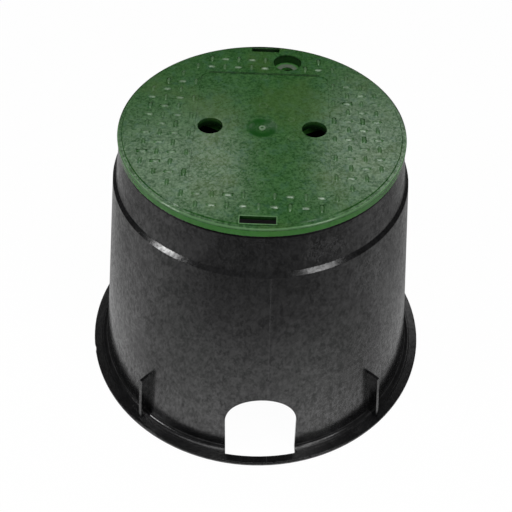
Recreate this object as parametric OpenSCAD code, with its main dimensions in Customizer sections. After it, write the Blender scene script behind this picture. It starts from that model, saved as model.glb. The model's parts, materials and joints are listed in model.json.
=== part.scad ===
// Round irrigation valve box: a moulded bell-shaped body with a foot flange and two pipe openings,
// and a ribbed drop-in cover with a tread, finger holes and a counterbored bolt hole.
// Millimetres, +Z up. The origin is on the ground at the axis, and -Y is a pipe opening.

/* [Body shell] */
// Height of the rim that the cover rests on
rim_z = 251; // [235:1:300]
// Outer diameter of the rim
rim_d = 238; // [232:1:243]
// Outer diameter of the upper band at its foot
band_d = 249; // [245:1:252]
// Height of the upper band, from the sloped ledge to the rim
band_h = 33.9; // [25:0.1:45]
// Height of the sloped ledge
ledge_h = 3.4; // [2:0.1:6]
// Outer diameter of the main wall at the ledge
ledge_d = 255.2; // [253:0.1:262]
// Outer diameter of the main wall where it meets the ground
foot_d = 306.2; // [290:0.1:310]
// Thickness of every wall of the body
wall_t = 4.5; // [3:0.1:6]
// Chamfer on the outer corner of the rim
rim_chamfer = 0.9; // [0.3:0.1:1.5]

/* [Foot flange] */
// Outer diameter of the flange
flange_d = 332.4; // [324:0.1:350]
// Thickness of the flange's outer ring
flange_t = 4; // [3:0.5:7]
// Diameter of the raised land inside the outer ring
land_d = 317; // [315:0.5:320]
// How far the land stands above the outer ring
land_h = 1; // [0.5:0.1:2]
// Radius of the fillet between the land and the wall
foot_fillet = 5; // [2:0.5:5]
// Chamfer along the flange's outer edges
flange_chamfer = 0.8; // [0.3:0.1:1.2]
// Length of the nick in the flange's edge
nick_l = 10; // [4:1:16]
// Depth of the nick in the flange's edge
nick_depth = 0.8; // [0.5:0.1:2]
// Direction of the nick, seen from above and counted from +X
nick_angle = 191; // [0:1:360]

/* [Pipe openings] */
// Width of each arched opening
pipe_w = 64; // [40:1:80]
// Height of the crown of the arch above the ground
pipe_h = 73; // [60:1:95]

/* [Gussets] */
// Angle from the middle of a pipe opening to the gusset on each side
gusset_angle = 44; // [30:1:60]
// Thickness of a gusset
gusset_t = 3.2; // [2:0.1:5]
// How far a gusset stands out from the wall
gusset_reach = 9.5; // [5:0.5:12]
// Height of a gusset's top above the ground
gusset_top = 58; // [30:1:90]

/* [Bolt boss] */
// Diameter of the boss inside the wall
boss_d = 20; // [16:0.5:24]
// Length of the boss
boss_l = 42; // [30:1:60]
// Diameter of the blind hole for the bolt
boss_hole_d = 8.4; // [6:0.1:10]
// Depth of the blind hole
boss_hole_l = 32; // [15:1:38]
// Thickness of the web that carries the boss
boss_web_t = 5; // [3:0.5:8]
// Space between the boss and the cover's bolt cup
boss_gap = 0.6; // [0.3:0.1:2]

/* [Cover plate] */
// Outer diameter of the cover
cover_d = 239.6; // [238:0.1:243]
// Height of the cover's top above the rim
cover_h = 9; // [7:0.5:11]
// Thickness of the plate
plate_t = 4; // [3:0.5:6]
// Diameter of the raised plate inside the edge ring
plate_d = 232.6; // [231:0.1:235]
// How far the plate stands above the edge ring
edge_step = 0.9; // [0.4:0.1:1.5]
// Thickness of the skirt that rests on the rim
skirt_t = 4; // [2.5:0.1:4.2]
// Chamfer along the cover's outer edges
cover_chamfer = 0.6; // [0.3:0.1:0.8]
// Angle that the cover and its bolt boss are turned from the pipe openings
cover_turn = -3.3; // [-10:0.1:10]

/* [Cover underside] */
// Radial space between the locating ring and the rim's bore
ring_gap = 0.5; // [0.3:0.1:1.5]
// Thickness of the locating ring
ring_t = 2.7; // [2:0.1:4]
// How far the locating ring reaches below the rim
ring_depth = 8; // [5:0.5:14]
// Number of radial ribs
rib_count = 8; // [4:4:16]
// Thickness of a rib
rib_t = 2.5; // [2:0.1:4]
// Depth of the ribs below the plate at the hub
rib_hub_depth = 15; // [10:0.5:20]
// Depth of the ribs below the plate at the locating ring
rib_end_depth = 8; // [6:0.5:10]
// Outer diameter of the hub ring under the middle
hub_d = 36; // [30:1:44]
// Middle diameter of the circular rib
mid_rib_d = 136; // [124:1:148]

/* [Cover openings] */
// Diameter of a finger hole
finger_d = 20.8; // [16:0.1:24]
// Distance between the two finger holes
finger_pitch = 86.8; // [80:0.1:96]
// How far a finger hole's collar reaches below the plate
collar_depth = 3.4; // [1:0.1:5]
// Thickness of a finger hole's collar
collar_t = 2.2; // [1.5:0.1:3]
// Distance of the bolt hole from the middle
bolt_r = 96; // [94:0.5:97]
// Angle of the bolt hole from the back of the cover
bolt_angle = 12; // [10:1:13]
// Diameter of the bolt's clearance hole
bolt_d = 10.8; // [9:0.1:12]
// Diameter of the recess for the bolt's head
head_d = 25.2; // [20:0.1:26]
// Depth of the recess for the bolt's head
head_depth = 8.5; // [5:0.1:10]
// Thickness of the bolt cup's floor
cup_floor = 3; // [2:0.1:4]
// Thickness of the bolt cup's wall
cup_wall = 3.2; // [2:0.1:3.6]
// Width of the front slot
front_slot_w = 27.5; // [18:0.5:32]
// Length of the front slot, towards the middle
front_slot_l = 7.8; // [5:0.1:9]
// Distance of the front slot's centre from the middle
front_slot_r = 110.6; // [109:0.1:111]
// Width of the back slot
back_slot_w = 25; // [18:0.5:30]
// Length of the back slot, towards the middle
back_slot_l = 5.4; // [4:0.1:6]
// Distance of the back slot's centre from the middle
back_slot_r = 112.4; // [111:0.1:113]
// Room beside a slot where the locating ring is cut away
slot_relief = 2; // [1:0.5:5]

/* [Cover top] */
// Width of the sunken panel
panel_w = 112; // [108:1:112]
// Length of the sunken panel
panel_l = 150; // [146:1:150]
// Corner radius of the sunken panel
panel_corner = 9; // [4:1:20]
// Depth of the sunken panel
panel_depth = 0.6; // [0.3:0.1:1.2]
// Diameter of the shallow dish in the middle
dish_d = 28; // [20:1:32]
// Depth of the dish below the panel
dish_depth = 1; // [0.5:0.1:1.5]
// Outer diameter of the gate ring in the dish
gate_d = 5.4; // [3:0.2:8]
// Width of the gate ring's wall
gate_t = 1.5; // [0.8:0.1:1.5]
// Distance between tread lugs
lug_pitch = 12; // [12:0.5:16]
// Length of a tread lug
lug_l = 8.6; // [6:0.1:9]
// Width of a tread lug
lug_w = 3.8; // [2.5:0.1:5]
// Height of a tread lug
lug_h = 1; // [0.5:0.1:1.5]
// Radius within which the centres of the lugs lie
tread_r = 107.5; // [90:0.5:108]
// Bare space between a lug and an edge or hole beside it
lug_margin = 0.3; // [0.1:0.1:3]

/* [Hidden] */
$fn = 96;
over = 1;           // how far a cut runs past a face
embed = 0.5;        // how far a raised piece is sunk into what carries it
rim_r = rim_d / 2;
band_r = band_d / 2;
ledge_r = ledge_d / 2;
foot_r = foot_d / 2;
flange_r = flange_d / 2;
land_r = land_d / 2;
land_z = flange_t + land_h;
ledge_top = rim_z - band_h;
ledge_z = ledge_top - ledge_h;
cover_r = cover_d / 2;
plate_r = plate_d / 2;
plate_under = cover_h - plate_t;
ring_r = rim_r - wall_t - ring_gap;
ring_inner_r = ring_r - ring_t;
panel_z = cover_h - panel_depth;
cup_bottom = cover_h - head_depth - cup_floor;
boss_top = rim_z + cup_bottom - boss_gap;
boss_web_top = rim_z - ring_depth - 2;
bolt_x = bolt_r * sin(bolt_angle);
bolt_y = bolt_r * cos(bolt_angle);
wall_lean = atan((foot_r - ledge_r) / ledge_z);
arc_steps = 6;      // straight steps that make up a fillet's section
bare_place = [0, -7]; // place on the lug lattice, in front of the panel, that has no lug

// Radius of the main wall's outer face at a height
function main_wall_r(z) = foot_r - (foot_r - ledge_r) * z / ledge_z;

// Radius of the upper band's outer face at a height
function band_wall_r(z) = band_r - (band_r - rim_r) * (z - ledge_top) / (rim_z - ledge_top);

// Radius of the body's outer face at a height
function outer_r(z) = z < ledge_z ? main_wall_r(z) : band_wall_r(max(z, ledge_top));

// Points of an arc, from one angle to another
function arc(centre, r, from, to) =
    [for (k = [0 : arc_steps]) centre + r * [cos(from + (to - from) * k / arc_steps),
                                             sin(from + (to - from) * k / arc_steps)]];

// Centre of the fillet that runs from the land up into the leaning wall
fillet_z = land_z + foot_fillet;
fillet_r = main_wall_r(fillet_z - foot_fillet * sin(wall_lean)) + foot_fillet * cos(wall_lean);

// Half section of the body: flange, land, fillet, wall, ledge, band and rim
module body_section() {
    polygon(concat(
        [[foot_r - wall_t, 0],
         [flange_r - flange_chamfer, 0],
         [flange_r, flange_chamfer],
         [flange_r, flange_t - flange_chamfer],
         [flange_r - flange_chamfer, flange_t],
         [land_r, flange_t],
         [land_r - land_h / 2, land_z]],
        arc([fillet_r, fillet_z], foot_fillet, 270, 180 + wall_lean),
        [[ledge_r, ledge_z],
         [band_r, ledge_top],
         [band_wall_r(rim_z - rim_chamfer), rim_z - rim_chamfer],
         [rim_r - rim_chamfer, rim_z],
         [rim_r - wall_t, rim_z],
         [band_r - wall_t, ledge_top],
         [ledge_r - wall_t, ledge_z]]));
}

// Arched way for a pipe, from the axis out to the land's edge, so that the flange's ring stays whole
module pipe_way() {
    intersection() {
        translate([0, 0, -over])
            cylinder(r = land_r, h = rim_z);
        rotate([90, 0, 0])
            linear_extrude(height = flange_r)
                union() {
                    translate([-pipe_w / 2, -over])
                        square([pipe_w, pipe_h - pipe_w / 2 + over]);
                    translate([0, pipe_h - pipe_w / 2])
                        circle(d = pipe_w);
                }
    }
}

// Upright plate between the flange and the wall, with its outer edge along the wall's lean
module gusset() {
    rotate([90, 0, 0])
        translate([0, 0, -gusset_t / 2])
            linear_extrude(height = gusset_t)
                polygon([[main_wall_r(flange_t / 2) - wall_t / 2, flange_t / 2],
                         [main_wall_r(flange_t / 2) + gusset_reach, flange_t / 2],
                         [main_wall_r(gusset_top) + gusset_reach, gusset_top],
                         [main_wall_r(gusset_top) - wall_t / 2, gusset_top]]);
}

// Boss for the cover's bolt, carried by a web from the wall's inner side
module bolt_boss() {
    translate([bolt_x, bolt_y, boss_top - boss_l])
        cylinder(d = boss_d, h = boss_l);
    rotate([90, 0, 90 - bolt_angle])
        translate([0, 0, -boss_web_t / 2])
            linear_extrude(height = boss_web_t)
                polygon([[bolt_r, boss_web_top],
                         [outer_r(boss_web_top) - wall_t / 2, boss_web_top],
                         [outer_r(ledge_top) - wall_t / 2, ledge_top],
                         [ledge_r - wall_t / 2, ledge_z],
                         [outer_r(boss_top - boss_l) - wall_t / 2, boss_top - boss_l - boss_d / 2],
                         [bolt_r, boss_top - boss_l]]);
}

// Shallow hollow that wear left in the flange's edge
module flange_nick() {
    nick_r = (pow(nick_l / 2, 2) + pow(nick_depth, 2)) / (2 * nick_depth);
    rotate([0, 0, nick_angle])
        translate([flange_r - nick_depth + nick_r, 0, -over])
            cylinder(r = nick_r, h = flange_t + 2 * over);
}

module body() {
    color("#2c2c2e")
    difference() {
        union() {
            rotate_extrude()
                body_section();
            for (side = [0, 180], turn = [-gusset_angle, gusset_angle])
                rotate([0, 0, side - 90 + turn])
                    gusset();
            rotate([0, 0, cover_turn])
                bolt_boss();
        }
        for (side = [0, 180])
            rotate([0, 0, side])
                pipe_way();
        rotate([0, 0, cover_turn])
            translate([bolt_x, bolt_y, boss_top - boss_hole_l])
                cylinder(d = boss_hole_d, h = boss_hole_l + over);
        flange_nick();
    }
}

// Half section of the cover: stepped plate, skirt on the rim and locating ring inside it
module cover_section() {
    ring_z = cover_h - edge_step;
    polygon([[0, cover_h],
             [plate_r - cover_chamfer, cover_h],
             [plate_r, ring_z],
             [cover_r - cover_chamfer, ring_z],
             [cover_r, ring_z - cover_chamfer],
             [cover_r, cover_chamfer],
             [cover_r - cover_chamfer, 0],
             [cover_r - skirt_t, 0],
             [cover_r - skirt_t, plate_under],
             [ring_r, plate_under],
             [ring_r, cover_chamfer - ring_depth],
             [ring_r - cover_chamfer, -ring_depth],
             [ring_inner_r, -ring_depth],
             [ring_inner_r, plate_under],
             [0, plate_under]]);
}

// Radial rib, deepest at the hub
module radial_rib() {
    rotate([90, 0, 0])
        translate([0, 0, -rib_t / 2])
            linear_extrude(height = rib_t)
                polygon([[hub_d / 2 - rib_t / 2, plate_under + embed],
                         [ring_inner_r + embed, plate_under + embed],
                         [ring_inner_r + embed, plate_under - rib_end_depth],
                         [hub_d / 2 - rib_t / 2, plate_under - rib_hub_depth]]);
}

// Ring under the plate, given by its outer diameter and its depth
module ring_rib(outer_d, depth) {
    translate([0, 0, plate_under - depth])
        difference() {
            cylinder(d = outer_d, h = depth + embed);
            translate([0, 0, -over])
                cylinder(d = outer_d - 2 * rib_t, h = depth + embed + 2 * over);
        }
}

// Depth of the radial ribs at a radius
function rib_depth(r) = rib_hub_depth
    + (rib_end_depth - rib_hub_depth) * (r - hub_d / 2) / (ring_inner_r - hub_d / 2);

module cover_ribs() {
    for (k = [0 : rib_count - 1])
        rotate([0, 0, (k + 0.5) * 360 / rib_count])
            radial_rib();
    ring_rib(hub_d, rib_hub_depth);
    ring_rib(mid_rib_d + rib_t, rib_depth(mid_rib_d / 2));
}

// Pillow-shaped tread lug along X, standing on the plate's top
module lug() {
    cross_r = (pow(lug_w / 2, 2) + pow(lug_h, 2)) / (2 * lug_h);
    long_r = (pow(lug_l / 2, 2) + pow(lug_h, 2)) / (2 * lug_h);
    intersection() {
        translate([0, 0, lug_h - cross_r])
            rotate([0, 90, 0])
                cylinder(r = cross_r, h = lug_l + 2 * over, center = true);
        translate([0, 0, lug_h - long_r])
            rotate([90, 0, 0])
                cylinder(r = long_r, h = lug_w + 2 * over, center = true);
        translate([0, 0, lug_h / 2])
            cube([lug_l + over, lug_w + over, lug_h + 2 * embed], center = true);
    }
}

// True where a lug at a place keeps clear of a slot
function clear_of_slot(p, y, w, l) =
    abs(p[0]) > (w + lug_l) / 2 + lug_margin || abs(p[1] - y) > (l + lug_l) / 2 + lug_margin;

// True where a lug keeps clear of the panel, given half its size each way
function clear_of_panel(p, half) =
    abs(p[0]) - half[0] >= panel_w / 2 + lug_margin || abs(p[1]) - half[1] >= panel_l / 2 + lug_margin;

// True where the tread has a lug: on the plate, off the panel and clear of the openings
function has_lug(p, half) =
    norm(p) <= tread_r
    && clear_of_panel(p, half)
    && p != bare_place * lug_pitch
    && norm(p - [bolt_x, bolt_y]) > head_d / 2 + lug_l / 2 + lug_margin
    && clear_of_slot(p, -front_slot_r, front_slot_w, front_slot_l)
    && clear_of_slot(p, back_slot_r, back_slot_w, back_slot_l);

// Tread: lugs on a square lattice, turned a quarter from each to the next
module tread() {
    reach = floor(tread_r / lug_pitch);
    for (i = [-reach : reach], j = [-reach : reach]) {
        across = abs(i + j) % 2 == 1;
        half = across ? [lug_l / 2, lug_w / 2] : [lug_w / 2, lug_l / 2];
        if (has_lug([i, j] * lug_pitch, half))
            translate([i * lug_pitch, j * lug_pitch, cover_h])
                rotate([0, 0, across ? 0 : 90])
                    lug();
    }
}

// Sunken panel with round corners
module panel_recess() {
    corner_x = panel_w / 2 - panel_corner;
    corner_y = panel_l / 2 - panel_corner;
    translate([0, 0, panel_z])
        linear_extrude(height = panel_depth + over)
            union() {
                square([panel_w, 2 * corner_y], center = true);
                square([2 * corner_x, panel_l], center = true);
                for (x = [-corner_x, corner_x], y = [-corner_y, corner_y])
                    translate([x, y])
                        circle(r = panel_corner);
            }
}

// Shallow round dish in the middle of the panel
module dish() {
    dish_r = (pow(dish_d / 2, 2) + pow(dish_depth, 2)) / (2 * dish_depth);
    translate([0, 0, panel_z - dish_depth + dish_r])
        sphere(r = dish_r);
}

// Small ring that the gate left in the dish
module gate_ring() {
    translate([0, 0, panel_z - dish_depth - embed])
        difference() {
            cylinder(d = gate_d, h = dish_depth + embed);
            translate([0, 0, embed + dish_depth / 2])
                cylinder(d = gate_d - 2 * gate_t, h = dish_depth + over);
        }
}

// Slot through the plate, with the locating ring cut away beneath it
module slot(y, w, l) {
    relief_w = w + 2 * slot_relief;
    relief_l = cover_r - ring_inner_r + 2 * ring_t;
    translate([-w / 2, y - l / 2, plate_under - over])
        cube([w, l, plate_t + 2 * over]);
    intersection() {
        translate([0, 0, -ring_depth - over])
            cylinder(r = (ring_r + cover_r - skirt_t) / 2, h = ring_depth + over + plate_under);
        translate([-relief_w / 2, sign(y) * cover_r - (y < 0 ? 0 : relief_l), -ring_depth - 2 * over])
            cube([relief_w, relief_l, cover_h + ring_depth]);
    }
}

module cover() {
    color("#1f5a36")
    translate([0, 0, rim_z])
    rotate([0, 0, cover_turn]) {
        difference() {
            union() {
                rotate_extrude()
                    cover_section();
                cover_ribs();
                for (x = [-finger_pitch / 2, finger_pitch / 2])
                    translate([x, 0, plate_under - collar_depth])
                        cylinder(d = finger_d + 2 * collar_t, h = collar_depth + embed);
                translate([bolt_x, bolt_y, cup_bottom])
                    cylinder(d = head_d + 2 * cup_wall, h = plate_under - cup_bottom + embed);
                tread();
            }
            panel_recess();
            dish();
            for (x = [-finger_pitch / 2, finger_pitch / 2])
                translate([x, 0, plate_under - collar_depth - over])
                    cylinder(d = finger_d, h = collar_depth + plate_t + 2 * over);
            translate([bolt_x, bolt_y, cover_h - head_depth])
                cylinder(d = head_d, h = head_depth + over);
            translate([bolt_x, bolt_y, cup_bottom - over])
                cylinder(d = bolt_d, h = cup_floor + 2 * over);
            slot(-front_slot_r, front_slot_w, front_slot_l);
            slot(back_slot_r, back_slot_w, back_slot_l);
        }
        gate_ring();
    }
}

body();
cover();
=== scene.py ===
"""Looks of a round irrigation valve box: a black bell-shaped body under a green treaded cover.

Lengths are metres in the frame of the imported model: +Z up, the box's axis through the origin and
-Y out through the front pipe opening.
"""

import json
import logging
from dataclasses import dataclass
from enum import Enum
from math import atan2, cos, degrees, pi, radians, sin
from typing import Any, Sequence, Union

import bmesh
import bpy
from mathutils import Matrix, Vector


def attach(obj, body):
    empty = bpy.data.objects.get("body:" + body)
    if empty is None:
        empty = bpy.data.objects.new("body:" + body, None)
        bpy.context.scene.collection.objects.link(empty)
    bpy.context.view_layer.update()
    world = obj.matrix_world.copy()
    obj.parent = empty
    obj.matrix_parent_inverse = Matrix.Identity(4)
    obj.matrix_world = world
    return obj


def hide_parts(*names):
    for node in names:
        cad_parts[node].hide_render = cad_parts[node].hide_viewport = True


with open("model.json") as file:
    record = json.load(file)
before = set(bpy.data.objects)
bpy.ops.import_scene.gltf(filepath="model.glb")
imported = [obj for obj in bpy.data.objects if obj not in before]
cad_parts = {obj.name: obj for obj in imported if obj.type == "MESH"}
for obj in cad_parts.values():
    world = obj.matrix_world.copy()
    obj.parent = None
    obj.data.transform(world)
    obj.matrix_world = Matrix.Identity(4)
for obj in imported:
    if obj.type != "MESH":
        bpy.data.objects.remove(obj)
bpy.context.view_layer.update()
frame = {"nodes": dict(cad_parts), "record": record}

LOG = logging.getLogger("valve_box")
MM = 0.001
Colour = tuple[float, float, float]
Number = Union[float, "Value"]


class Slot(Enum):
    """Material slots of the record."""

    BODY = "body_plastic"
    COVER = "cover_plastic"


class Body(Enum):
    """Bodies that the pieces ride on."""

    BOX = "box"
    LID = "lid"


class Value:
    """A number socket that Python's operators calculate with, by adding Math nodes."""

    def __init__(self, shader: "Shader", socket: bpy.types.NodeSocket) -> None:
        """Wraps one output socket of a shader's tree."""
        self.shader = shader
        self.socket = socket

    def math(self, operation: str, *others: Number, swapped: bool = False) -> "Value":
        """Adds a Math node.

        Args:
            operation: Name of the Math node's operation.
            others: The other operands.
            swapped: True to put this value after the others.

        Returns:
            The node's result.
        """
        operands = [*others, self] if swapped else [self, *others]
        node = self.shader.node("ShaderNodeMath", {"operation": operation}, dict(enumerate(operands)))
        return Value(self.shader, node.outputs[0])

    def __add__(self, other: Number) -> "Value":
        """Sum of this value and another."""
        return self.math("ADD", other)

    __radd__ = __add__

    def __sub__(self, other: Number) -> "Value":
        """This value less another."""
        return self.math("SUBTRACT", other)

    def __rsub__(self, other: Number) -> "Value":
        """Another value less this one."""
        return self.math("SUBTRACT", other, swapped=True)

    def __mul__(self, other: Number) -> "Value":
        """Product of this value and another."""
        return self.math("MULTIPLY", other)

    __rmul__ = __mul__

    def __truediv__(self, other: Number) -> "Value":
        """This value divided by another."""
        return self.math("DIVIDE", other)

    def __abs__(self) -> "Value":
        """Size of this value without its sign."""
        return self.math("ABSOLUTE")

    def ramp(self, low: float, high: float, start: float = 0.0, end: float = 1.0) -> "Value":
        """Eases from one level to another.

        Args:
            low: Value at which the change starts.
            high: Value at which the change ends.
            start: Level up to the start.
            end: Level from the end on.

        Returns:
            The eased level.
        """
        node = self.shader.node(
            "ShaderNodeMapRange",
            {"interpolation_type": "SMOOTHSTEP"},
            {"Value": self, "From Min": low, "From Max": high, "To Min": start, "To Max": end},
        )
        return Value(self.shader, node.outputs[0])


class Shader:
    """Node tree of a material or of the world, built up one node at a time."""

    def __init__(self, tree: bpy.types.NodeTree) -> None:
        """Empties the tree that the nodes go into."""
        self.tree = tree
        self.tree.nodes.clear()

    def node(self, kind: str, settings: dict[str, Any] | None = None,
             inputs: dict[Any, Any] | None = None) -> bpy.types.Node:
        """Adds a node.

        Args:
            kind: Type of the node.
            settings: Its properties, which are set before its sockets.
            inputs: Values or links of its input sockets, by name or by number.

        Returns:
            The new node.
        """
        node = self.tree.nodes.new(kind)
        for name, setting in (settings or {}).items():
            setattr(node, name, setting)
        for name, value in (inputs or {}).items():
            socket = node.inputs[name]
            if isinstance(value, Value):
                value = value.socket
            if isinstance(value, bpy.types.NodeSocket):
                self.tree.links.new(value, socket)
            elif isinstance(value, tuple) and len(value) == 3 and socket.type == "RGBA":
                socket.default_value = (*value, 1.0)
            else:
                socket.default_value = value
        return node

    def value(self, node: bpy.types.Node, output: Union[str, int] = 0) -> Value:
        """Wraps one output of a node as a value."""
        return Value(self, node.outputs[output])

    def place(self) -> bpy.types.NodeSocket:
        """Place on the piece, in metres."""
        return self.node("ShaderNodeTexCoord").outputs["Object"]

    def axes(self, vector: bpy.types.NodeSocket) -> tuple[Value, Value, Value]:
        """Splits a vector into its three numbers."""
        split = self.node("ShaderNodeSeparateXYZ", None, {0: vector})
        return self.value(split, 0), self.value(split, 1), self.value(split, 2)

    def moved(self, vector: bpy.types.NodeSocket, scale: Colour = (1.0, 1.0, 1.0), turn: float = 0.0,
              shift: Colour = (0.0, 0.0, 0.0)) -> bpy.types.NodeSocket:
        """Stretches, turns and shifts a pattern's coordinates.

        Args:
            vector: The coordinates.
            scale: Factors along the three axes.
            turn: Angle about Z, in degrees.
            shift: Distances along the three axes.

        Returns:
            The new coordinates.
        """
        inputs = {"Vector": vector, "Scale": scale, "Rotation": (0.0, 0.0, radians(turn)), "Location": shift}
        return self.node("ShaderNodeMapping", None, inputs).outputs[0]

    def noise(self, vector: bpy.types.NodeSocket, size: float, detail: float = 2.0, roughness: float = 0.5,
              distortion: float = 0.0) -> Value:
        """Noise from 0 to 1.

        Args:
            vector: Where it is read.
            size: Width of its patches, in metres.
            detail: Number of finer layers.
            roughness: Strength of the finer layers.
            distortion: How far the pattern is pulled about.

        Returns:
            The noise's level.
        """
        inputs = {"Vector": vector, "Scale": 1.0 / size, "Detail": detail, "Roughness": roughness,
                  "Distortion": distortion}
        return self.value(self.node("ShaderNodeTexNoise", None, inputs))

    def blend(self, factor: Number, first: Any, second: Any, mode: str = "MIX") -> bpy.types.NodeSocket:
        """Mixes two colours.

        Args:
            factor: Share of the second colour.
            first: A colour or a colour socket.
            second: A colour or a colour socket.
            mode: How the second lies on the first.

        Returns:
            The mixed colour.
        """
        node = self.tree.nodes.new("ShaderNodeMix")
        node.data_type = "RGBA"
        node.blend_type = mode
        for number, value in ((0, factor), (6, first), (7, second)):
            socket = node.inputs[number]
            if isinstance(value, Value):
                value = value.socket
            if isinstance(value, bpy.types.NodeSocket):
                self.tree.links.new(value, socket)
            else:
                socket.default_value = (*value, 1.0) if isinstance(value, tuple) else value
        return node.outputs[2]


def new_material(name: str) -> tuple[bpy.types.Material, Shader]:
    """Makes an empty node material.

    Args:
        name: The material's name.

    Returns:
        The material and its shader tree.
    """
    material = bpy.data.materials.new(name)
    material.use_nodes = True
    return material, Shader(material.node_tree)


@dataclass(frozen=True)
class FoamPlastic:
    """Black structural-foam plastic: satin, with swirls, flow streaks, a fine grain, pale patches of painted sheen and
    painted shade under the cover.
    """

    name: str = "black_foam_plastic"
    deep: Colour = (0.0026, 0.0026, 0.0028)
    pale: Colour = (0.0092, 0.0092, 0.0096)
    # Pale tone of the parting line and of the painted sheen patches.
    seam_and_painted_sheen: Colour = (0.034, 0.034, 0.035)
    roughness: float = 0.20
    base_gloss: float = 0.14
    coat_roughness: float = 0.18
    swirl_size: float = 0.020
    fleck_size: float = 0.0024
    streak_size: float = 0.0034
    grain_size: float = 0.0013
    edge_radius: float = 0.0003
    parting_turn: float = 2.1
    parting_half_width: float = 0.0005
    parting_top: float = 0.213
    # Painted shade: a dark, dull line under the cover's edge and a dark rim top under the slots.
    painted_shade: Colour = (0.0006, 0.0006, 0.0006)
    painted_shade_from: float = 0.2486
    under_cover_from: float = 0.2400
    under_cover_radius: float = 0.1165
    foot_gloss: float = 0.5
    # Middles and radii of the pale patches of painted sheen.
    painted_sheen_spots: Sequence[tuple[Colour, float]] = (
        ((0.0394, -0.1155, 0.2316), 0.018),
        ((0.0520, -0.1090, 0.2300), 0.014),
        ((0.0893, -0.0958, 0.1858), 0.030),
    )

    def build(self) -> bpy.types.Material:
        """Makes the material.

        Returns:
            The material.
        """
        material, shader = new_material(self.name)
        place = shader.place()
        _, _, z = shader.axes(place)
        swirl = shader.noise(place, self.swirl_size, 4.0, 0.6, 2.2)
        fleck = shader.noise(shader.moved(place, (1.0, 1.0, 0.55)), self.fleck_size, 3.0, 0.65, 1.0)
        streak = shader.noise(shader.moved(place, (1.0, 1.0, 0.14)), self.streak_size, 2.0, 0.6, 0.3)
        grain = shader.noise(place, self.grain_size, 2.0, 0.6)
        low = z.ramp(0.02, 0.11, 1.0, 0.3)
        seam = self.parting_line(shader, place)
        # Painted sheen: pale patches that stand in for a lamp's reflection on the band and wall.
        pale_tone_and_painted_sheen = self.pale_tone_and_painted_sheen(shader, place) * fleck.ramp(0.35, 0.65)
        cloud = swirl.ramp(0.35, 0.65) * 0.35 + fleck.ramp(0.32, 0.68) * 0.4 + streak.ramp(0.3, 0.7) * low * 0.25
        colour = shader.blend(cloud, self.deep, self.pale)
        colour = shader.blend((pale_tone_and_painted_sheen * 0.5).math("MAXIMUM", seam * 0.35), colour, self.seam_and_painted_sheen)
        gloss = 0.24 + fleck.ramp(0.40, 0.60) * 0.50 + swirl.ramp(0.38, 0.62) * 0.24
        gloss = gloss + streak.ramp(0.38, 0.62) * low * 0.28 - pale_tone_and_painted_sheen * 0.1
        # Painted shade under the cover's edge and on the rim below the slots.
        painted_shade = self.painted_shade_under_cover(shader, place)
        colour = shader.blend(painted_shade, colour, self.painted_shade)
        gloss = gloss * (1.0 - painted_shade) * z.ramp(0.006, 0.020, self.foot_gloss, 1.0)
        roughness = self.roughness + (0.5 - swirl) * 0.12 + (0.5 - fleck) * 0.16 + pale_tone_and_painted_sheen * 0.12
        height = grain * 0.5 + fleck * 0.9 + streak * low * 0.6 + seam * 0.9
        rounded = shader.node("ShaderNodeBevel", {"samples": 6}, {"Radius": self.edge_radius}).outputs[0]
        bump = shader.node("ShaderNodeBump", None, {
            "Strength": 0.6, "Distance": 0.00025, "Height": height, "Normal": rounded}).outputs[0]
        surface = shader.node("ShaderNodeBsdfPrincipled", None, {
            "Base Color": colour, "Roughness": roughness, "Normal": bump, "Specular IOR Level": self.base_gloss,
            "Coat Weight": gloss.math("MAXIMUM", 0.0), "Coat Roughness": self.coat_roughness})
        shader.node("ShaderNodeOutputMaterial", None, {"Surface": surface.outputs[0]})
        return material

    def painted_shade_under_cover(self, shader: Shader, place: bpy.types.NodeSocket) -> Value:
        """Finds the painted shade, dark and dull, along the cover's lower edge and on the rim under the cover.

        Args:
            shader: The shader that the nodes go into.
            place: Place on the piece.

        Returns:
            1 in the painted shade and 0 elsewhere.
        """
        x, y, z = shader.axes(place)
        radius = (x * x + y * y).math("SQRT")
        inside = radius.ramp(self.under_cover_radius, self.under_cover_radius + 0.0005, 1.0, 0.0)
        under = inside * z.ramp(self.under_cover_from, self.under_cover_from + 0.001)
        return under.math("MAXIMUM", z.ramp(self.painted_shade_from, self.painted_shade_from + 0.0008) * 0.9)

    def parting_line(self, shader: Shader, place: bpy.types.NodeSocket) -> Value:
        """Draws the faint upright line that the mould's halves left on the front of the main wall.

        Args:
            shader: The shader that the nodes go into.
            place: Place on the piece.

        Returns:
            1 on the line and 0 beside it.
        """
        x, y, z = shader.axes(shader.moved(place, turn=-self.parting_turn))
        line = abs(x).ramp(self.parting_half_width / 2, self.parting_half_width, 1.0, 0.0)
        return line * y.ramp(-0.10, -0.09, 1.0, 0.0) * z.ramp(self.parting_top, self.parting_top + 0.001, 1.0, 0.0)

    def pale_tone_and_painted_sheen(self, shader: Shader, place: bpy.types.NodeSocket) -> Value:
        """Draws the pale patches of painted sheen.

        Args:
            shader: The shader that the nodes go into.
            place: Place on the piece.

        Returns:
            1 in the middle of a patch, falling to 0 at its ragged edge.
        """
        ragged = (shader.noise(place, 0.011, 3.0, 0.6) - 0.5) * 1.1
        patches = None
        for middle, radius in self.painted_sheen_spots:
            away = shader.node("ShaderNodeVectorMath", {"operation": "DISTANCE"}, {0: place, 1: middle})
            patch = (shader.value(away, "Value") / radius + ragged).ramp(0.35, 1.0, 1.0, 0.0)
            patches = patch if patches is None else patches.math("MAXIMUM", patch)
        return patches


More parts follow.
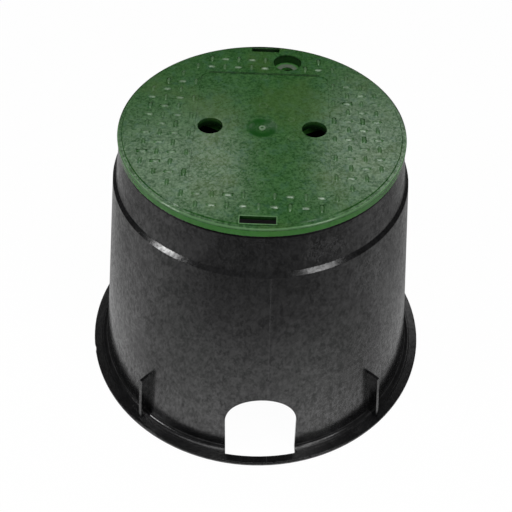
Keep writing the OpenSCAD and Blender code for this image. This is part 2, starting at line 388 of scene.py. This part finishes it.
@dataclass(frozen=True)
class CoverPlastic:
    """Dark green moulded plastic: mottled, with ejector marks and a dark dish; painted shade in its holes and slots
    and along the far rim, and painted light on the skirt, the lug tops, the near rim edge and the slot lips.
    """

    name: str = "green_cover_plastic"
    deep: Colour = (0.007, 0.042, 0.006)
    fresh: Colour = (0.031, 0.100, 0.024)
    cool: Colour = (0.030, 0.086, 0.050)
    olive: Colour = (0.046, 0.086, 0.014)
    # Pale tone of the pin marks and gate ring, also used for the painted sheen on the lug tops.
    pale_tone_and_painted_sheen: Colour = (0.13, 0.20, 0.12)
    # Painted highlight on the near rim edge and the front slot's lips.
    edge: Colour = (0.085, 0.180, 0.075)
    # Darker green of the dish.
    dish_tone: Colour = (0.003, 0.042, 0.003)
    # Painted light: brighter green on the skirt's upright face, standing in for fill light.
    painted_skirt_light: Colour = (0.038, 0.165, 0.026)
    seat_floor_grey: Colour = (0.110, 0.120, 0.105)
    shade: Colour = (0.003, 0.012, 0.003)
    roughness: float = 0.17
    base_gloss: float = 0.12
    coat_roughness: float = 0.16
    skirt_gloss: float = 0.45
    mottle_size: float = 0.0021
    patch_size: float = 0.0075
    cloud_size: float = 0.045
    grain_size: float = 0.0010
    edge_radius: float = 0.00035
    pins: Sequence[Colour] = ((0.0, 0.071, 0.0), (0.0, 0.030, 0.0), (0.0, -0.033, 0.0), (0.0, -0.069, 0.0))
    pin_radius: float = 0.0035
    sprues: Sequence[Colour] = ((0.024, 0.012, 0.0), (-0.024, 0.012, 0.0), (0.024, -0.012, 0.0), (-0.024, -0.012, 0.0))
    sprue_radius: float = 0.0024
    finger_hole_out: float = 0.0434
    seat_middle: Colour = (0.01996, 0.09390, 0.0)

    def build(self, turn: float) -> bpy.types.Material:
        """Makes the material.

        Args:
            turn: Angle in degrees that the cover is turned about Z.

        Returns:
            The material.
        """
        material, shader = new_material(self.name)
        place = shader.place()
        own = shader.moved(place, turn=-turn)
        _, _, z = shader.axes(place)
        cloud = shader.noise(place, self.cloud_size, 3.0, 0.6, 0.8)
        mottle = shader.noise(place, self.mottle_size, 2.0, 0.6, 0.6)
        patch = shader.noise(place, self.patch_size, 3.0, 0.65, 1.0)
        grain = shader.noise(place, self.grain_size, 2.0, 0.6)
        cool = shader.noise(shader.moved(place, shift=(0.3, 0.1, 0.0)), self.patch_size, 2.0, 0.6)
        olive = shader.noise(shader.moved(place, shift=(0.1, 0.4, 0.0)), 0.05, 3.0, 0.6)
        colour = shader.blend(mottle.ramp(0.39, 0.61) * 0.62 + patch.ramp(0.36, 0.64) * 0.38, self.deep, self.fresh)
        colour = shader.blend(cool.ramp(0.5, 0.7) * 0.3, colour, self.cool)
        colour = shader.blend(olive.ramp(0.48, 0.66) * 0.32, colour, self.olive)
        # Painted light on the skirt.
        colour = shader.blend(z.ramp(0.2560, 0.2580, 0.65, 0.0), colour, self.painted_skirt_light)
        ring, marks = self.gate_ring(shader, own), self.marks(shader, own)
        colour = shader.blend((ring * 0.85).math("MAXIMUM", marks * 0.10), colour, self.pale_tone_and_painted_sheen)
        # Painted highlight along the near rim edge and the front slot's lips.
        colour = shader.blend(self.painted_edge_highlight(shader, own) * 0.7, colour, self.edge)
        # Painted sheen: the lug tops are coloured paler.
        colour = shader.blend(self.painted_lug_sheen(shader, own) * 0.25, colour, self.pale_tone_and_painted_sheen)
        # The bolt seat's floor is coloured pale grey.
        floor, wall = self.bolt_seat(shader, own)
        colour = shader.blend(floor * mottle.ramp(0.3, 0.6, 0.5, 0.9), colour, self.seat_floor_grey)
        # The dish is coloured a darker, duller green.
        dish = self.dish(shader, own)
        colour = shader.blend(dish, colour, self.dish_tone)
        # Painted shade in the finger holes, slots, bolt seat wall and along the far rim and panel edge.
        shaded = self.shaded(shader, own).math("MAXIMUM", wall * 0.85)
        colour = shader.blend(shaded, colour, self.shade)
        gloss = 0.16 + mottle.ramp(0.42, 0.62) * 0.52 + patch.ramp(0.36, 0.64) * 0.24 + cloud.ramp(0.3, 0.7) * 0.12
        gloss = gloss * (1.0 - shaded * 0.85) * (1.0 - dish * 0.9) * (1.0 - floor * 0.8) * z.ramp(0.2555, 0.2590, self.skirt_gloss, 1.0)
        roughness = self.roughness + (0.5 - mottle) * 0.12 + (0.5 - patch) * 0.10
        rounded = shader.node("ShaderNodeBevel", {"samples": 6}, {"Radius": self.edge_radius}).outputs[0]
        bump = shader.node("ShaderNodeBump", None, {
            "Strength": 0.5, "Distance": 0.0002, "Height": grain * 0.5 + mottle * 1.1 + marks * 0.7,
            "Normal": rounded}).outputs[0]
        surface = shader.node("ShaderNodeBsdfPrincipled", None, {
            "Base Color": colour, "Roughness": roughness, "Normal": bump, "Specular IOR Level": self.base_gloss,
            "Coat Weight": gloss, "Coat Roughness": self.coat_roughness})
        shader.node("ShaderNodeOutputMaterial", None, {"Surface": surface.outputs[0]})
        return material

    def marks(self, shader: Shader, own: bpy.types.NodeSocket) -> Value:
        """Draws the faint round rims of the ejector pins on the panel.

        Args:
            shader: The shader that the nodes go into.
            own: Place in the cover's own directions.

        Returns:
            1 on the rims and 0 elsewhere.
        """
        x, y, z = shader.axes(own)
        flat = shader.node("ShaderNodeCombineXYZ", None, {0: x, 1: y}).outputs[0]
        rims = None
        for middles, radius in ((self.pins, self.pin_radius), (self.sprues, self.sprue_radius)):
            for middle in middles:
                away = shader.node("ShaderNodeVectorMath", {"operation": "DISTANCE"}, {0: flat, 1: middle})
                rim = abs(shader.value(away, "Value") - radius).ramp(0.0003, 0.0008, 1.0, 0.0)
                rims = rim if rims is None else rims.math("MAXIMUM", rim)
        return rims * z.ramp(0.2580, 0.2585)

    def gate_ring(self, shader: Shader, own: bpy.types.NodeSocket) -> Value:
        """Finds the small ring in the middle of the dish, which is coloured paler.

        Args:
            shader: The shader that the nodes go into.
            own: Place in the cover's own directions.

        Returns:
            1 on the ring and 0 elsewhere.
        """
        x, y, z = shader.axes(own)
        radius = (x * x + y * y).math("SQRT")
        return radius.ramp(0.0010, 0.0014) * radius.ramp(0.0026, 0.0029, 1.0, 0.0) * z.ramp(0.2575, 0.2580)

    def painted_lug_sheen(self, shader: Shader, own: bpy.types.NodeSocket) -> Value:
        """Finds the tops of the tread lugs, which get a painted sheen.

        Args:
            shader: The shader that the nodes go into.
            own: Place in the cover's own directions.

        Returns:
            1 on the tops and 0 on the plate.
        """
        _, _, z = shader.axes(own)
        return z.ramp(0.26003, 0.26045)

    def bolt_seat(self, shader: Shader, own: bpy.types.NodeSocket) -> tuple[Value, Value]:
        """Finds the bolt seat's pale grey floor and its wall, which gets painted shade.

        Args:
            shader: The shader that the nodes go into.
            own: Place in the cover's own directions.

        Returns:
            1 on the floor, and 1 on the wall.
        """
        x, y, z = shader.axes(own)
        flat = shader.node("ShaderNodeCombineXYZ", None, {0: x, 1: y}).outputs[0]
        away = shader.node("ShaderNodeVectorMath", {"operation": "DISTANCE"}, {0: flat, 1: self.seat_middle})
        radius = shader.value(away, "Value")
        floor = radius.ramp(0.0085, 0.0120, 1.0, 0.0) * z.ramp(0.2518, 0.2521, 1.0, 0.0) * z.ramp(0.2505, 0.2510)
        wall = radius.ramp(0.0119, 0.0124) * radius.ramp(0.0128, 0.0131, 1.0, 0.0) * z.ramp(0.2585, 0.2597, 1.0, 0.0)
        return floor, wall

    def dish(self, shader: Shader, own: bpy.types.NodeSocket) -> Value:
        """Finds the dish in the middle, which is darker and duller than the panel.

        Args:
            shader: The shader that the nodes go into.
            own: Place in the cover's own directions.

        Returns:
            1 in the dish, falling to 0 at its edge.
        """
        x, y, z = shader.axes(own)
        radius = (x * x + y * y).math("SQRT")
        ring = radius.ramp(0.0104, 0.0142, 0.90, 0.0) * radius.ramp(0.0028, 0.0085, 0.45, 1.0)
        ring = ring * radius.ramp(0.0028, 0.0031)
        return ring * z.ramp(0.2572, 0.2576)

    def painted_edge_highlight(self, shader: Shader, own: bpy.types.NodeSocket) -> Value:
        """Finds the rim's near outer edge and the front slot's lips, which get a painted highlight.

        Args:
            shader: The shader that the nodes go into.
            own: Place in the cover's own directions.

        Returns:
            1 on the edge, falling to 0 on both sides of it.
        """
        x, y, z = shader.axes(own)
        radius = (x * x + y * y).math("SQRT")
        rim = radius.ramp(0.1184, 0.1192) * z.ramp(0.2572, 0.2584) * y.ramp(-0.01, 0.03, 1.0, 0.0)
        lips = abs(x).ramp(0.0144, 0.0147, 1.0, 0.0) * abs(y + 0.1106).ramp(0.0046, 0.0049, 1.0, 0.0)
        return rim.math("MAXIMUM", lips * z.ramp(0.2596, 0.2598))

    def shaded(self, shader: Shader, own: bpy.types.NodeSocket) -> Value:
        """Darkens the finger holes' walls, the panel's and rim's far edges and both slots with painted shade.

        Args:
            shader: The shader that the nodes go into.
            own: Place in the cover's own directions.

        Returns:
            The painted shade's strength.
        """
        x, y, z = shader.axes(own)
        radius = (x * x + y * y).math("SQRT")
        on_top = z.ramp(0.2572, 0.2576)
        panel = abs(y - 0.0757).ramp(0.0004, 0.0017, 0.55, 0.0) * abs(x).ramp(0.046, 0.052, 1.0, 0.0)
        beside_hole = abs(x) - self.finger_hole_out
        hole = (beside_hole * beside_hole + y * y).math("SQRT").ramp(0.0104, 0.0109, 1.0, 0.0)
        hole = hole * z.ramp(0.2550, 0.2595, 1.0, 0.3)
        rim = radius.ramp(0.1182, 0.1189, 0.0, 0.9) * y.ramp(-0.01, 0.03)
        inside = z.ramp(0.2594, 0.2597, 1.0, 0.0)
        back = abs(x).ramp(0.0125, 0.0129, 0.97, 0.0) * y.ramp(0.1085, 0.1090) * radius.ramp(0.1191, 0.1194, 1.0, 0.0)
        front = abs(x).ramp(0.0138, 0.0141, 1.0, 0.0) * y.ramp(-0.1064, -0.1060, 1.0, 0.0)
        front = front * radius.ramp(0.1160, 0.1165, 1.0, 0.0) * z.ramp(0.2560, 0.2596, 1.0, 0.5)
        slots = back.math("MAXIMUM", front) * inside
        return (panel * on_top).math("MAXIMUM", hole).math("MAXIMUM", rim).math("MAXIMUM", slots)


def add_piece(name: str, bm: bmesh.types.BMesh, body: Body, material: bpy.types.Material,
              crease: float) -> bpy.types.Object:
    """Turns a bmesh into a finished piece that rides on a body.

    Args:
        name: The piece's name.
        bm: Its shape, which is freed.
        body: The body that it rides on.
        material: Its material.
        crease: Angle in degrees above which an edge stays sharp.

    Returns:
        The new object.
    """
    mesh = bpy.data.meshes.new(name)
    bm.to_mesh(mesh)
    bm.free()
    mesh.polygons.foreach_set("use_smooth", [True] * len(mesh.polygons))
    mesh.set_sharp_from_angle(angle=radians(crease))
    mesh.materials.append(material)
    piece = bpy.data.objects.new(name, mesh)
    bpy.context.scene.collection.objects.link(piece)
    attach(piece, body.value)
    LOG.info("%s: %d faces on %s", name, len(mesh.polygons), body.value)
    return piece


def merged_copy(node: str, merge: float = 1e-6, flat: float = 0.3) -> bmesh.types.BMesh:
    """Copies a CAD node's mesh with its loose triangles joined and its flat faces whole.

    Args:
        node: The node's name.
        merge: Distance within which corners are joined.
        flat: Angle in degrees under which neighbouring faces count as one flat face.

    Returns:
        The joined mesh.
    """
    bm = bmesh.new()
    bm.from_mesh(frame["nodes"][node].data)
    bmesh.ops.remove_doubles(bm, verts=bm.verts, dist=merge)
    bmesh.ops.dissolve_degenerate(bm, edges=bm.edges, dist=merge)
    bmesh.ops.dissolve_limit(bm, angle_limit=radians(flat), verts=bm.verts, edges=bm.edges)
    return bm


def soften(piece: bpy.types.Object, width: float, angle: float = 32.0, segments: int = 2) -> None:
    """Rounds a piece's sharp edges as a mould leaves them, and keeps its flat faces flat.

    Args:
        piece: The piece.
        width: Width of the rounding.
        angle: Angle in degrees above which an edge is rounded.
        segments: Number of steps across the rounding.
    """
    bevel = piece.modifiers.new("rounded_edges", "BEVEL")
    bevel.width = width
    bevel.segments = segments
    bevel.limit_method = "ANGLE"
    bevel.angle_limit = radians(angle)
    bevel.use_clamp_overlap = True
    bevel.miter_outer = "MITER_ARC"
    normals = piece.modifiers.new("flat_faces_first", "WEIGHTED_NORMAL")
    normals.keep_sharp = True
    normals.weight = 60


@dataclass
class BoxBody:
    """The bell-shaped body with its foot flange and pipe openings."""

    node: str = "body"
    crease: float = 50.0
    edge_width: float = 0.00035

    def build(self, finish: FoamPlastic) -> None:
        """Builds the body's piece and dresses it.

        Args:
            finish: The plastic that it is moulded from.
        """
        piece = add_piece("body_shell", merged_copy(self.node), Body.BOX, finish.build(), self.crease)
        soften(piece, self.edge_width)
        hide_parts(self.node)


@dataclass(frozen=True)
class Lug:
    """Place and size of one tread lug, with its long side along a direction."""

    centre: Vector
    length: float
    width: float
    height: float
    turn: float


@dataclass
class BoxCover:
    """The treaded cover with its finger holes, slots and bolt seat."""

    node: str = "cover"
    crease: float = 50.0
    edge_width: float = 0.0006
    lug_steps: tuple[int, int] = (12, 8)
    lug_corner: float = 0.45
    lug_root: float = 0.0002
    flush: float = 2e-5

    def build(self, finish: CoverPlastic) -> None:
        """Builds the cover's pieces and dresses them.

        Args:
            finish: The plastic that they are moulded from.
        """
        material = finish.build(degrees(self.turn()))
        plate = merged_copy(self.node)
        top = self.top_of_plate()
        lugs = self.take_off_lugs(plate, top)
        piece = add_piece("cover_plate", plate, Body.LID, material, self.crease)
        soften(piece, self.edge_width)
        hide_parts(self.node)
        add_piece("cover_tread", self.tread(lugs), Body.LID, material, self.crease)

    def holes(self) -> dict[str, Vector]:
        """Middles of the record's mounts, by name."""
        return {mount["name"]: Vector(mount["pos_m"]) for mount in frame["record"]["mounts"]}

    def turn(self) -> float:
        """Angle between the line through the finger holes and X, in radians."""
        holes = self.holes()
        across = holes["finger_hole_right"] - holes["finger_hole_left"]
        return atan2(across.y, across.x)

    def top_of_plate(self) -> float:
        """Height of the flat top that the lugs stand on, from the bolt seat's upper end."""
        seat = next(mount for mount in frame["record"]["mounts"] if mount["name"] == "bolt_head_seat")
        return seat["pos_m"][2] + seat["dims"]["length_mm"] * MM / 2

    def take_off_lugs(self, plate: bmesh.types.BMesh, top: float) -> list[Lug]:
        """Takes the lugs off the plate's mesh and closes it.

        Args:
            plate: The cover's mesh, which is changed.
            top: Height of the flat top.

        Returns:
            Each lug's place and size.
        """
        above = {vertex for vertex in plate.verts if vertex.co.z > top + self.flush}
        waiting = set(above)
        lugs = []
        while waiting:
            island = self.island_of(waiting.pop(), above)
            waiting -= island
            lugs.append(self.lug_round(island, top))
        bmesh.ops.delete(plate, geom=list(above), context="VERTS")
        open_edges = [edge for edge in plate.edges if edge.is_boundary]
        bmesh.ops.holes_fill(plate, edges=open_edges, sides=0)
        bmesh.ops.recalc_face_normals(plate, faces=plate.faces)
        bmesh.ops.dissolve_limit(plate, angle_limit=radians(0.3), verts=plate.verts, edges=plate.edges)
        LOG.info("%d lugs taken over from the frame", len(lugs))
        return lugs

    def island_of(self, start: bmesh.types.BMVert, allowed: set[bmesh.types.BMVert]) -> set[bmesh.types.BMVert]:
        """Collects the corners that are joined to one corner.

        Args:
            start: The corner to start from.
            allowed: The corners that may be collected.

        Returns:
            The joined corners, the first one included.
        """
        island = {start}
        edge_of_island = [start]
        while edge_of_island:
            vertex = edge_of_island.pop()
            for edge in vertex.link_edges:
                other = edge.other_vert(vertex)
                if other in allowed and other not in island:
                    island.add(other)
                    edge_of_island.append(other)
        return island

    def lug_round(self, island: set[bmesh.types.BMVert], top: float) -> Lug:
        """Measures one lug from its corners.

        Args:
            island: The lug's corners above the flat top.
            top: Height of the flat top.

        Returns:
            The lug's place and size.
        """
        turn = self.turn()
        foot = {edge.other_vert(vertex) for vertex in island for edge in vertex.link_edges} | island
        places = [Matrix.Rotation(-turn, 3, "Z") @ vertex.co for vertex in foot]
        low = [min(place[axis] for place in places) for axis in range(2)]
        high = [max(place[axis] for place in places) for axis in range(2)]
        sizes = [high[axis] - low[axis] for axis in range(2)]
        middle = Vector(((low[0] + high[0]) / 2, (low[1] + high[1]) / 2, top))
        height = max(vertex.co.z for vertex in island) - top
        quarter = 0.0 if sizes[0] > sizes[1] else pi / 2
        centre = Matrix.Rotation(turn, 3, "Z") @ middle
        return Lug(centre, max(sizes), min(sizes), height, turn + quarter)

    def tread(self, lugs: Sequence[Lug]) -> bmesh.types.BMesh:
        """Makes all the lugs as one mesh of smooth pillows that are sunk a little into the plate.

        Args:
            lugs: Their places and sizes.

        Returns:
            The mesh.
        """
        bm = bmesh.new()
        for lug in lugs:
            pillow = bmesh.ops.create_grid(bm, x_segments=self.lug_steps[0], y_segments=self.lug_steps[1], size=1.0)
            for vertex in pillow["verts"]:
                vertex.co = self.on_pillow(vertex.co.x, vertex.co.y, lug)
            place = Matrix.Translation(lug.centre) @ Matrix.Rotation(lug.turn, 4, "Z")
            bmesh.ops.transform(bm, matrix=place, verts=pillow["verts"])
        return bm

    def on_pillow(self, across: float, along: float, lug: Lug) -> Vector:
        """Lifts a point of a flat square onto a lug.

        Args:
            across: Place from -1 to 1 along the lug's length.
            along: Place from -1 to 1 along its width.
            lug: The lug.

        Returns:
            The point, with the lug's middle as origin.
        """
        x = across * (1.0 - self.lug_corner * along ** 2 / 2) ** 0.5
        y = along * (1.0 - self.lug_corner * across ** 2 / 2) ** 0.5
        rise = (1.0 - abs(across) ** 2.6) * (1.0 - abs(along) ** 1.45)
        height = rise * (lug.height + self.lug_root) - self.lug_root
        return Vector((x * lug.length / 2, y * lug.width / 2, height))


@dataclass(frozen=True)
class Softbox:
    """A soft lamp that looks at the object's middle."""

    name: str
    azimuth: float
    elevation: float
    distance: float
    width: float
    height: float
    level: float
    aim: Colour = (0.0, 0.0, 0.15)

    def build(self) -> None:
        """Adds the lamp, whose level is the share of plain white light that it gives a surface facing it."""
        lamp = bpy.data.lights.new(self.name, "AREA")
        lamp.shape = "RECTANGLE"
        lamp.size = self.width
        lamp.size_y = self.height
        lamp.energy = self.level * (pi * self.distance) ** 2
        holder = bpy.data.objects.new(self.name, lamp)
        turn, rise = radians(self.azimuth), radians(self.elevation)
        out = Vector((sin(turn) * cos(rise), cos(turn) * cos(rise), sin(rise)))
        holder.location = Vector(self.aim) + out * self.distance
        holder.rotation_euler = out.to_track_quat("Z", "Y").to_euler()
        bpy.context.scene.collection.objects.link(holder)
        LOG.info("%s at %s", self.name, tuple(round(value, 3) for value in holder.location))


@dataclass
class Studio:
    """Pale floor, soft lamps and a quiet surround."""

    floor_size: float = 12.0
    floor_colour: float = 0.80
    # Painted shade: the floor's colour under the box.
    inner_colour: float = 0.03
    floor_glow: float = 0.975
    front_near: float = 0.20
    front_far: float = 0.44
    front_level: float = 0.26
    side_level: float = 0.60
    back_level: float = 0.33
    side_far: float = 0.10
    right_share: float = 0.74
    box_radius: float = 0.1640
    doorstep_from: float = 0.095
    doorstep_to: float = 0.075
    horizon_level: float = 0.06
    zenith_level: float = 0.05
    front_sky: float = 0.12
    horizon_top: float = 0.10
    zenith_from: float = 0.50
    lamps: Sequence[Softbox] = (
        Softbox("overhead_softbox", 180.0, 84.0, 1.6, 1.10, 1.10, 0.50),
        Softbox("front_softbox", 165.0, 60.0, 1.8, 1.30, 0.50, 0.42),
        Softbox("back_left_softbox", -8.0, 45.0, 1.8, 0.38, 0.25, 0.0230),
        Softbox("back_right_softbox", 19.0, 42.5, 1.8, 0.42, 0.28, 0.0300),
        Softbox("back_low_softbox", 2.0, 20.0, 1.8, 1.20, 0.34, 0.0200),
        Softbox("left_softbox", -112.5, 26.2, 1.65, 0.40, 0.42, 0.34),
        Softbox("right_softbox", 139.0, 32.0, 1.6, 0.50, 0.50, 0.20),
    )

    def build(self) -> None:
        """Adds the floor, the world and the lamps."""
        self.build_floor()
        self.build_world()
        for lamp in self.lamps:
            lamp.build()

    def build_floor(self) -> None:
        """Adds a white floor that keeps a soft shadow and shows in reflections, and has painted shade where the box
        stands, except at the front doorstep.
        """
        bm = bmesh.new()
        bmesh.ops.create_grid(bm, x_segments=1, y_segments=1, size=self.floor_size / 2)
        mesh = bpy.data.meshes.new("floor")
        bm.to_mesh(mesh)
        bm.free()
        material, shader = new_material("pale_floor")
        x, y, _ = shader.axes(shader.place())
        path = shader.node("ShaderNodeLightPath")
        camera = shader.value(path, "Is Camera Ray")
        mirrored = shader.value(path, "Is Glossy Ray") + shader.value(path, "Is Transmission Ray")
        radius = (x * x + y * y).math("SQRT")
        front = (abs(x) / radius).ramp(0.35, 0.90, 1.0, 0.0) * y.ramp(-0.16, -0.04, 1.0, 0.0)
        before = radius.ramp(self.front_near, self.front_far, 1.0, self.front_level)
        beside = y.ramp(-0.10, 0.10, self.side_level, self.back_level) * radius.ramp(0.65, 1.2, 1.0, self.side_far)
        beside = beside * x.ramp(0.0, 0.15, 1.0, self.right_share)
        level = camera + (1.0 - camera) * (before * front + beside * (1.0 - front))
        # Painted shade: the floor is dark under the box, except at the front doorstep.
        outside = radius.ramp(self.box_radius, self.box_radius + 0.001)
        doorstep = y.ramp(-self.doorstep_from, -self.doorstep_to, 1.0, 0.0)
        lit = outside.math("MAXIMUM", doorstep)
        pale = shader.blend(lit, (self.inner_colour,) * 3, (self.floor_colour,) * 3)
        matt = shader.node("ShaderNodeBsdfDiffuse", None, {"Color": pale})
        glow = shader.node("ShaderNodeEmission", None, {"Color": (1.0, 1.0, 1.0), "Strength": level})
        share = camera * lit * self.floor_glow + mirrored.math("MINIMUM", 1.0) * lit
        mix = shader.node("ShaderNodeMixShader", None, {0: share, 1: matt.outputs[0], 2: glow.outputs[0]})
        shader.node("ShaderNodeOutputMaterial", None, {"Surface": mix.outputs[0]})
        mesh.materials.append(material)
        floor = bpy.data.objects.new("floor", mesh)
        bpy.context.scene.collection.objects.link(floor)

    def build_world(self) -> None:
        """Makes a world that is pale at the horizon, dim overhead and white behind the object."""
        world = bpy.data.worlds.new("studio_world")
        world.use_nodes = True
        bpy.context.scene.world = world
        shader = Shader(world.node_tree)
        direction = shader.node("ShaderNodeTexCoord").outputs["Generated"]
        _, y, height = shader.axes(direction)
        sky = height.ramp(self.horizon_top, self.zenith_from, self.horizon_level, self.zenith_level)
        sky = sky + height.ramp(0.35, 0.50) * height.ramp(0.66, 0.80, 1.0, 0.0) * y.ramp(-0.75, -0.45, self.front_sky, 0.0)
        camera = shader.value(shader.node("ShaderNodeLightPath"), "Is Camera Ray")
        strength = camera + (1.0 - camera) * sky
        back = shader.node("ShaderNodeBackground", None, {"Color": (1.0, 1.0, 1.0), "Strength": strength})
        shader.node("ShaderNodeOutputWorld", None, {"Surface": back.outputs[0]})


@dataclass(frozen=True)
class Viewpoint:
    """The photograph's camera."""

    place: Colour = (-0.0280, -0.5828, 0.7210)
    heading: float = 2.55
    dip: float = 46.61
    roll: float = 1.69
    lens: float = 62.3

    def build(self) -> None:
        """Adds the camera and makes it the scene's."""
        turn, dip, roll = radians(self.heading), radians(self.dip), radians(self.roll)
        forward = Vector((sin(turn) * cos(dip), cos(turn) * cos(dip), -sin(dip)))
        level_right = Vector((cos(turn), -sin(turn), 0.0))
        level_up = level_right.cross(forward)
        right = cos(roll) * level_right + sin(roll) * level_up
        up = cos(roll) * level_up - sin(roll) * level_right
        data = bpy.data.cameras.new("photo_camera")
        data.sensor_width = 36.0
        data.lens = self.lens
        camera = bpy.data.objects.new("photo_camera", data)
        turned = Matrix((right, up, -forward)).transposed().to_4x4()
        camera.matrix_world = Matrix.Translation(self.place) @ turned
        bpy.context.scene.collection.objects.link(camera)
        bpy.context.scene.camera = camera


def main() -> None:
    """Builds the camera, the studio and the two mouldings."""
    logging.basicConfig(level=logging.INFO, format="%(name)s %(message)s")
    bpy.context.scene.view_settings.view_transform = "Standard"
    Viewpoint().build()
    Studio().build()
    BoxBody().build(FoamPlastic())
    BoxCover().build(CoverPlastic())


if __name__ == "__main__":
    main()
